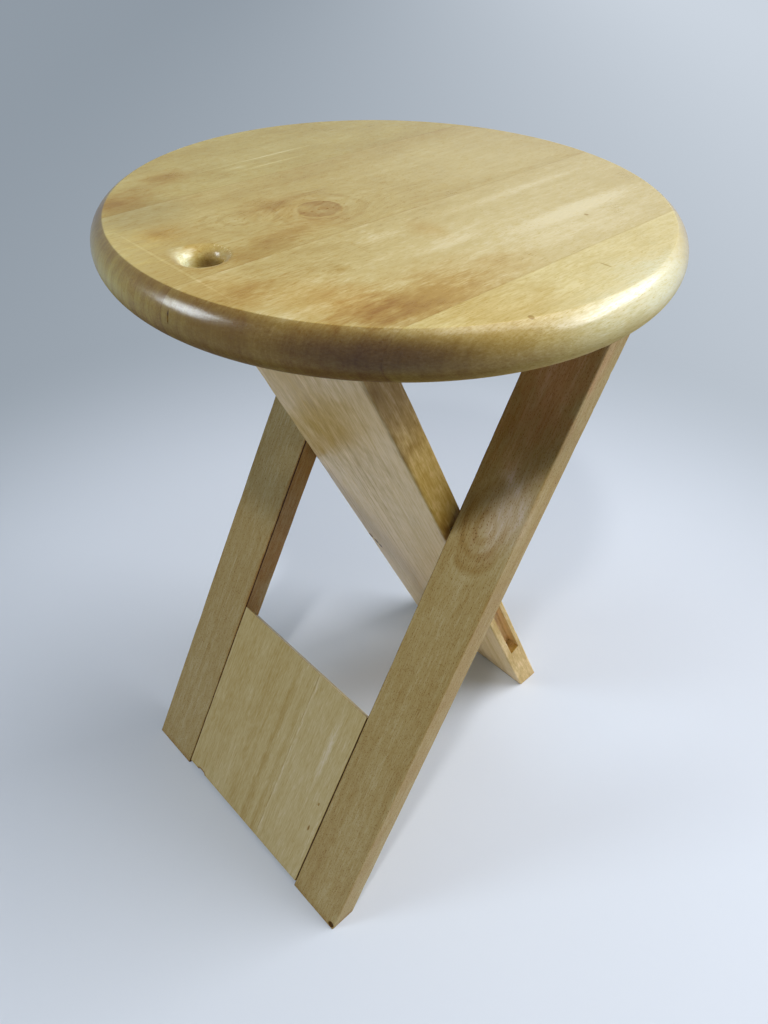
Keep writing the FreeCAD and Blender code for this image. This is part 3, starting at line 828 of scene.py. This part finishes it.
# Inner leg: two boards with a stopped groove in each outer edge
groove = {"width": 9, "depth": 10.5, "offset": 0.9, "top": 168.5, "bottom": 395, "ease": 0.3}
legLook = {
    "tone": 0.90, "broad": 0.18, "streak": 0.42, "streakLength": 150, "clouds": 0.12, "fleck": 0.18,
    "fleckSize": (1.2, 13), "mottle": 0.08, "drift": 3, "pores": 0.16, "poreCell": (1.0, 16.0),
    "poreSize": 0.22, "endShade": 0.08, "endTint": 0.6, "rough": 0.40, "coat": 0.2,
    "underRimAt": (30, 40), "seamDepth": (500, 400), "tint": (1.18, 1.01, 0.95), "wear": 0.06,
}
legBoards = {
    "leg_board_left": {
        "side": -1, "seed": (15, 905, 345), "radii": (frameSizes["arris"], planks["glueEase"]),
        "specks": [((-65, -9.5, 168), (2.6, 4, 4.6), -0.8), ((-61.5, -9.5, 161), (2.6, 4, 5.0), -0.9),
                   ((-58.5, -9.5, 155), (2.0, 4, 3.6), -0.8)],
        "marks": [((-58, 0, 240), (1.6, 60, 120), -0.14), ((-40, 0, 260), (1.4, 60, 160), -0.12)],
        # painted shade of the seat over the leg's upper part
        "stainsAndLight": [((-30, 0, 430), (120, 60, 185), paintedSeatShade, 1.0)],
        "chips": [((-62, -9.9, 162), (9.5, 2.8, 1.2), 63)],
    },
    "leg_board_right": {
        "side": 1, "seed": (660, 150, 710), "radii": (planks["glueEase"], frameSizes["arris"]),
        "marks": [
            ((-2, 0, 250), (7, 60, 240), -0.10), ((30, 0, 300), (12, 60, 200), -0.05),
            ((-13, 0, 310), (1.6, 60, 120), -0.24), ((-5, 0, 270), (1.4, 60, 110), -0.22),
            ((3, 0, 330), (1.8, 60, 90), -0.20), ((-20, 0, 230), (1.3, 60, 90), -0.18),
            ((11, 0, 230), (1.5, 60, 130), -0.16), ((40, 0, 260), (1.4, 60, 150), -0.12),
            # painted shade: the leg's side face darker along its length, where the right lamps fall
            ((71, 0, 250), (6, 60, 600), -0.19),
        ],
        "stainsAndLight": [
            # painted shade of the seat over the leg's upper part
            ((-30, 0, 430), (96, 60, 185), paintedSeatShade, 1.0),
            # olive side face, painted shade where the right lamps fall
            ((70, 0, 250), (6, 60, 500), olive, 1.0),
            # darker near the top of the side face
            ((70, 0, 445), (9, 60, 70), (0.62, 0.56, 0.50), 0.9),
            # painted contact shade where the leg crosses the stile
            ((70, 0, 288), (9, 60, 40), (0.58, 0.44, 0.40), 1.0),
        ],
    },
}
for node, leg in legBoards.items():
    shape = buildPlank(node, innerAxes, leg["radii"])
    low, high = boxAlong(node, innerAxes)
    mesh = cutAway(meshFrom(shape, node), [grooveCutter(innerAxes, low, high, leg["side"], groove)])
    mesh = chipped(mesh, innerAxes, leg)
    edges = plankEdges(node, innerAxes)
    glued = edges["middle"] - leg["side"] * edges["halfWidth"]
    look = {**legLook, **leg, "edges": edges, "seams": [(glued, 0.7, 0.12)]}
    finish = woodFinish(node + "_wood", innerAxes, look)
    makePiece(node + "_planed", mesh, finish, node)
print("inner leg planed")


def steelFinish(name, look):
    finish, shader, start = newFinish(name)
    place = start.node("ShaderNodeTexCoord", out="Object")
    spot = place.vector("MULTIPLY", (1 / mm, 1 / mm, 1 / mm))
    brushed = spot.grain(0.4, 12, 3)
    blotch = spot.grain(6, 6, 4, 0.6)
    dull = blotch.ramp(0.02, 0.16) * look["tarnish"]
    colour = dull.between((*look["bright"], 1), (*look["dull"], 1))
    rough = look["rough"] + brushed * 0.3 + blotch * 0.25 + dull * 0.2
    bump = start.node("ShaderNodeBump", None, {"Strength": 0.35, "Distance": 0.00005, "Height": brushed})
    plug(start, shader, {"Base Color": colour, "Roughness": rough, "Normal": bump}, {"Metallic": 1.0})
    return finish


# Hardware under the seat, from the CAD shapes with smooth round faces
bracketSteel = steelFinish("zinc_plate", {"bright": (0.60, 0.60, 0.59), "dull": (0.34, 0.33, 0.30),
                                          "rough": 0.36, "tarnish": 0.6})
pinSteel = steelFinish("drawn_steel", {"bright": (0.62, 0.62, 0.62), "dull": (0.30, 0.28, 0.25),
                                       "rough": 0.26, "tarnish": 0.4})
hardware = {
    "stile_bracket_left": bracketSteel, "stile_bracket_right": bracketSteel,
    "leg_bracket_left": bracketSteel, "leg_bracket_right": bracketSteel,
    "stile_pivot_left": pinSteel, "stile_pivot_right": pinSteel,
    "leg_pivot_left": pinSteel, "leg_pivot_right": pinSteel,
    "slide_pin_left": pinSteel, "slide_pin_right": pinSteel,
}
for node, finish in hardware.items():
    shape = bmesh.new()
    shape.from_mesh(frame["nodes"][node].data)
    bmesh.ops.remove_doubles(shape, verts=shape.verts[:], dist=1e-6)
    makePiece(node + "_smooth", meshFrom(shape, node), finish, node)

# Countersunk screws under the seat: one screw, set at each hole with its own turn
screws = {
    "insets": (9, 29),
    "plate": 2.3,
    "headWidth": 7.0,
    "shankWidth": 3.5,
    "point": 3.0,
    "slotWidth": 0.9,
    "slotLength": 4.0,
    "slotDepth": 1.1,
    "turns": 32,
    "seed": 7,
}
screwSteel = steelFinish("screw_zinc", {"bright": (0.62, 0.59, 0.50), "dull": (0.33, 0.29, 0.22),
                                        "rough": 0.32, "tarnish": 0.7})


def oneScrew(length):
    # head down at the origin, with a cross slot
    head, shank = screws["headWidth"] / 2, screws["shankWidth"] / 2
    profile = [(0, 0), (head - 0.15, 0), (head, 0.12), (shank, head - shank),
               (shank, length - screws["point"]), (0, length)]
    mesh = meshFrom(spun([Vector(spot) * mm for spot in profile], screws["turns"]), "screw")
    slots = []
    for turn in (0, math.pi / 2):
        shape = bmesh.new()
        spans = (screws["slotLength"], screws["slotWidth"], 2 * screws["slotDepth"])
        size = Matrix.Diagonal(spans).to_4x4()
        bmesh.ops.create_cube(shape, size=mm, matrix=Matrix.Rotation(turn, 4, "Z") @ size)
        slots.append(meshFrom(shape, "slot"))
    return cutAway(mesh, slots)


def screwTree():
    tree = bpy.data.node_groups.new("screw_set", "GeometryNodeTree")
    sockets = {"Places": "Geometry", "Screw": "Object", "Turn": "Float", "Seed": "Int",
               "Steel": "Material"}
    for name, kind in sockets.items():
        tree.interface.new_socket(name, in_out="INPUT", socket_type="NodeSocket" + kind)
    tree.interface.new_socket("Screws", in_out="OUTPUT", socket_type="NodeSocketGeometry")
    places = Wire(tree).node("NodeGroupInput", out="Places")
    screw = places.node("GeometryNodeObjectInfo", None, {"Object": places.other("Screw")}, "Geometry")
    angle = places.node("FunctionNodeRandomValue", {"data_type": "FLOAT"},
                        {2: 0.0, 3: places.other("Turn"), "Seed": places.other("Seed")}, 1)
    turned = places.node("ShaderNodeCombineXYZ", None, {"Z": angle})
    spread = places.node("GeometryNodeInstanceOnPoints", None,
                         {"Points": places, "Instance": screw, "Rotation": turned})
    real = places.node("GeometryNodeRealizeInstances", None, {0: spread})
    done = places.node("GeometryNodeSetMaterial", None,
                       {"Geometry": real, "Material": places.other("Steel")})
    places.node("NodeGroupOutput", None, {"Screws": done}, None)
    return tree


def screwPlaces():
    places = []
    for node in hardware:
        if "_bracket_" in node:
            low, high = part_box(node)
            side = math.copysign(1, low.x + high.x)
            face = max(abs(low.x), abs(high.x)) - screws["plate"] * mm
            places += [(side * (face - inset * mm), (low.y + high.y) / 2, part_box("bracket_screws")[0].z)
                       for inset in screws["insets"]]
    return places


def driveScrews():
    low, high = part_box("bracket_screws")
    source = bpy.data.objects.new("screw", oneScrew((high.z - low.z) / mm))
    bpy.context.scene.collection.objects.link(source)
    dots = bpy.data.meshes.new("screw_places")
    dots.from_pydata(screwPlaces(), [], [])
    holder = bpy.data.objects.new("screw_places", dots)
    bpy.context.scene.collection.objects.link(holder)
    setter = holder.modifiers.new("screws", "NODES")
    setter.node_group = screwTree()
    values = {"Screw": source, "Turn": math.pi, "Seed": screws["seed"], "Steel": screwSteel}
    for socket in setter.node_group.interface.items_tree:
        if socket.name in values:
            setter[socket.identifier] = values[socket.name]
    mesh = bakedMesh(holder)
    for item in (holder, source):
        bpy.data.objects.remove(item)
    makePiece("bracket_screws_driven", mesh, screwSteel, "bracket_screws")


driveScrews()
dowelLook = {**stileLook, "seed": (1, 2, 3), "edges": plankEdges("panel_dowels", frameAxes)}
dowelWood = woodFinish("dowel_wood", frameAxes, dowelLook)
frame["nodes"]["panel_dowels"].data.materials.clear()
frame["nodes"]["panel_dowels"].data.materials.append(dowelWood)
print("hardware finished")

# Floor that fades into a backdrop, dimmer on one side
stage = {
    "reach": 6.0,
    "fadeFrom": 0.34,
    "fadeTo": 0.80,
    "pale": (0.685, 0.73, 0.815),
    "far": (0.16, 0.17, 0.18),
    "dim": (0.28, 0.325, 0.375),
    "bright": (0.61, 0.67, 0.745),
    "windowSide": (0.7, 0.714, 0),
    "cameraSide": (0.714, -0.7, 0),
}


def backdrop(place):
    # dimmer away from the window side, and in reflections of the room behind the camera
    sideways = place.vector("DOT_PRODUCT", stage["windowSide"], "Value").ramp(-1.1, 1.6)
    behind = place.vector("DOT_PRODUCT", stage["cameraSide"], "Value").ramp(0.2, 2.0)
    mirrored = place.node("ShaderNodeLightPath", out="Is Glossy Ray")
    lit = sideways * (1 - behind * mirrored)
    return lit.between((*stage["dim"], 1), (*stage["bright"], 1))


def paleFloor():
    shape = bmesh.new()
    bmesh.ops.create_circle(shape, cap_ends=True, segments=96, radius=stage["reach"])
    floor = bpy.data.objects.new("floor", meshFrom(shape, "floor"))
    bpy.context.scene.collection.objects.link(floor)
    finish, shader, start = newFinish("pale_floor")
    place = start.node("ShaderNodeTexCoord", out="Object")
    away = place.vector("LENGTH", out="Value")
    dimmed = away.ramp(stage["fadeTo"], stage["fadeTo"] + 0.3)
    colour = dimmed.between((*stage["pale"], 1), (*stage["far"], 1))
    plug(start, shader, {"Base Color": colour}, {"Roughness": 0.6})
    ray = start.node("ShaderNodeLightPath", out="Is Camera Ray")
    glow = start.node("ShaderNodeEmission", None, {"Color": backdrop(place)})
    faded = away.ramp(stage["fadeFrom"], stage["fadeTo"])
    faded = faded * ray.math("MAXIMUM", ray, ray.other("Is Glossy Ray"))
    lit = Wire(start.tree, shader.outputs[0])
    mixed = start.node("ShaderNodeMixShader", None, {0: faded, 1: lit, 2: glow})
    start.tree.links.new(mixed.socket, start.tree.nodes["Material Output"].inputs["Surface"])
    floor.data.materials.append(finish)


def pearlWorld(strength, light):
    world = bpy.data.worlds.new("studio")
    bpy.context.scene.world = world
    world.use_nodes = True
    start = Wire(world.node_tree)
    ray = start.node("ShaderNodeLightPath", out="Is Camera Ray")
    shown = ray.math("MAXIMUM", ray, ray.other("Is Glossy Ray"))
    dim = [part * strength for part in light]
    # the floor ends at its reach, so that is where the world takes its colour from
    edge = start.node("ShaderNodeTexCoord", out="Generated").scaled(stage["reach"])
    colour = shown.between((*dim, 1), backdrop(edge))
    world.node_tree.links.new(colour.socket, world.node_tree.nodes["Background"].inputs["Color"])


paleFloor()
pearlWorld(0.14, (0.85, 0.92, 1.0))

# Soft boxes: power in watts, sizes in metres
lamps = {
    "overhead": {
        "place": (0.45, 0.55, 1.55), "size": (1.0, 1.0), "power": 6, "colour": (1.0, 0.99, 0.97),
        "mirrored": True,
    },
    "front": {
        "place": (0.581, -0.808, 1.826), "size": (0.13, 0.13), "power": 9, "colour": (1.0, 0.98, 0.95),
        "mirrored": False,
    },
    "rightWindow": {
        "place": (1.05, 1.30, 1.22), "size": (1.65, 1.05), "power": 14.5, "colour": (0.96, 0.98, 1.0),
        "mirrored": False,
    },
    "highWindow": {
        "place": (1.05, 1.30, 1.38), "size": (1.65, 0.50), "power": 17, "colour": (0.96, 0.98, 1.0),
        "mirrored": True,
    },
    "leftWindow": {
        "place": (-0.76, -1.21, 1.14), "size": (0.50, 0.54), "power": 7.9, "colour": (0.84, 0.94, 1.0),
        "mirrored": True,
    },
}
aim = Vector((0, 0, 0.3))
for name, lamp in lamps.items():
    light = bpy.data.lights.new(name, "AREA")
    light.shape = "RECTANGLE"
    light.size, light.size_y = lamp["size"]
    light.energy, light.color = lamp["power"], lamp["colour"]
    holder = bpy.data.objects.new(name, light)
    bpy.context.scene.collection.objects.link(holder)
    holder.location = lamp["place"]
    holder.visible_glossy = lamp["mirrored"]
    holder.rotation_mode = "QUATERNION"
    holder.rotation_quaternion = (aim - Vector(lamp["place"])).to_track_quat("-Z", "Y")

# Camera at the photograph's place
view = {"place": (0.3144, -0.3062, 0.6096), "yaw": -45.68, "pitch": 40.28, "roll": 1.44, "lens": 28.23}


def viewCamera():
    yaw, pitch, roll = (math.radians(view[name]) for name in ("yaw", "pitch", "roll"))
    ahead = Vector((math.sin(yaw) * math.cos(pitch), math.cos(yaw) * math.cos(pitch), -math.sin(pitch)))
    level = Vector((math.cos(yaw), -math.sin(yaw), 0))
    upright = level.cross(ahead)
    right = level * math.cos(roll) + upright * math.sin(roll)
    up = upright * math.cos(roll) - level * math.sin(roll)
    lens = bpy.data.cameras.new("view")
    lens.lens, lens.sensor_width = view["lens"], 36
    lens.clip_start = 0.01
    camera = bpy.data.objects.new("view", lens)
    bpy.context.scene.collection.objects.link(camera)
    turned = Matrix((right, up, -ahead)).transposed().to_4x4()
    camera.matrix_world = Matrix.Translation(view["place"]) @ turned
    bpy.context.scene.camera = camera


viewCamera()
bpy.context.scene.view_settings.view_transform = "Standard"
print("stage, light and camera set")
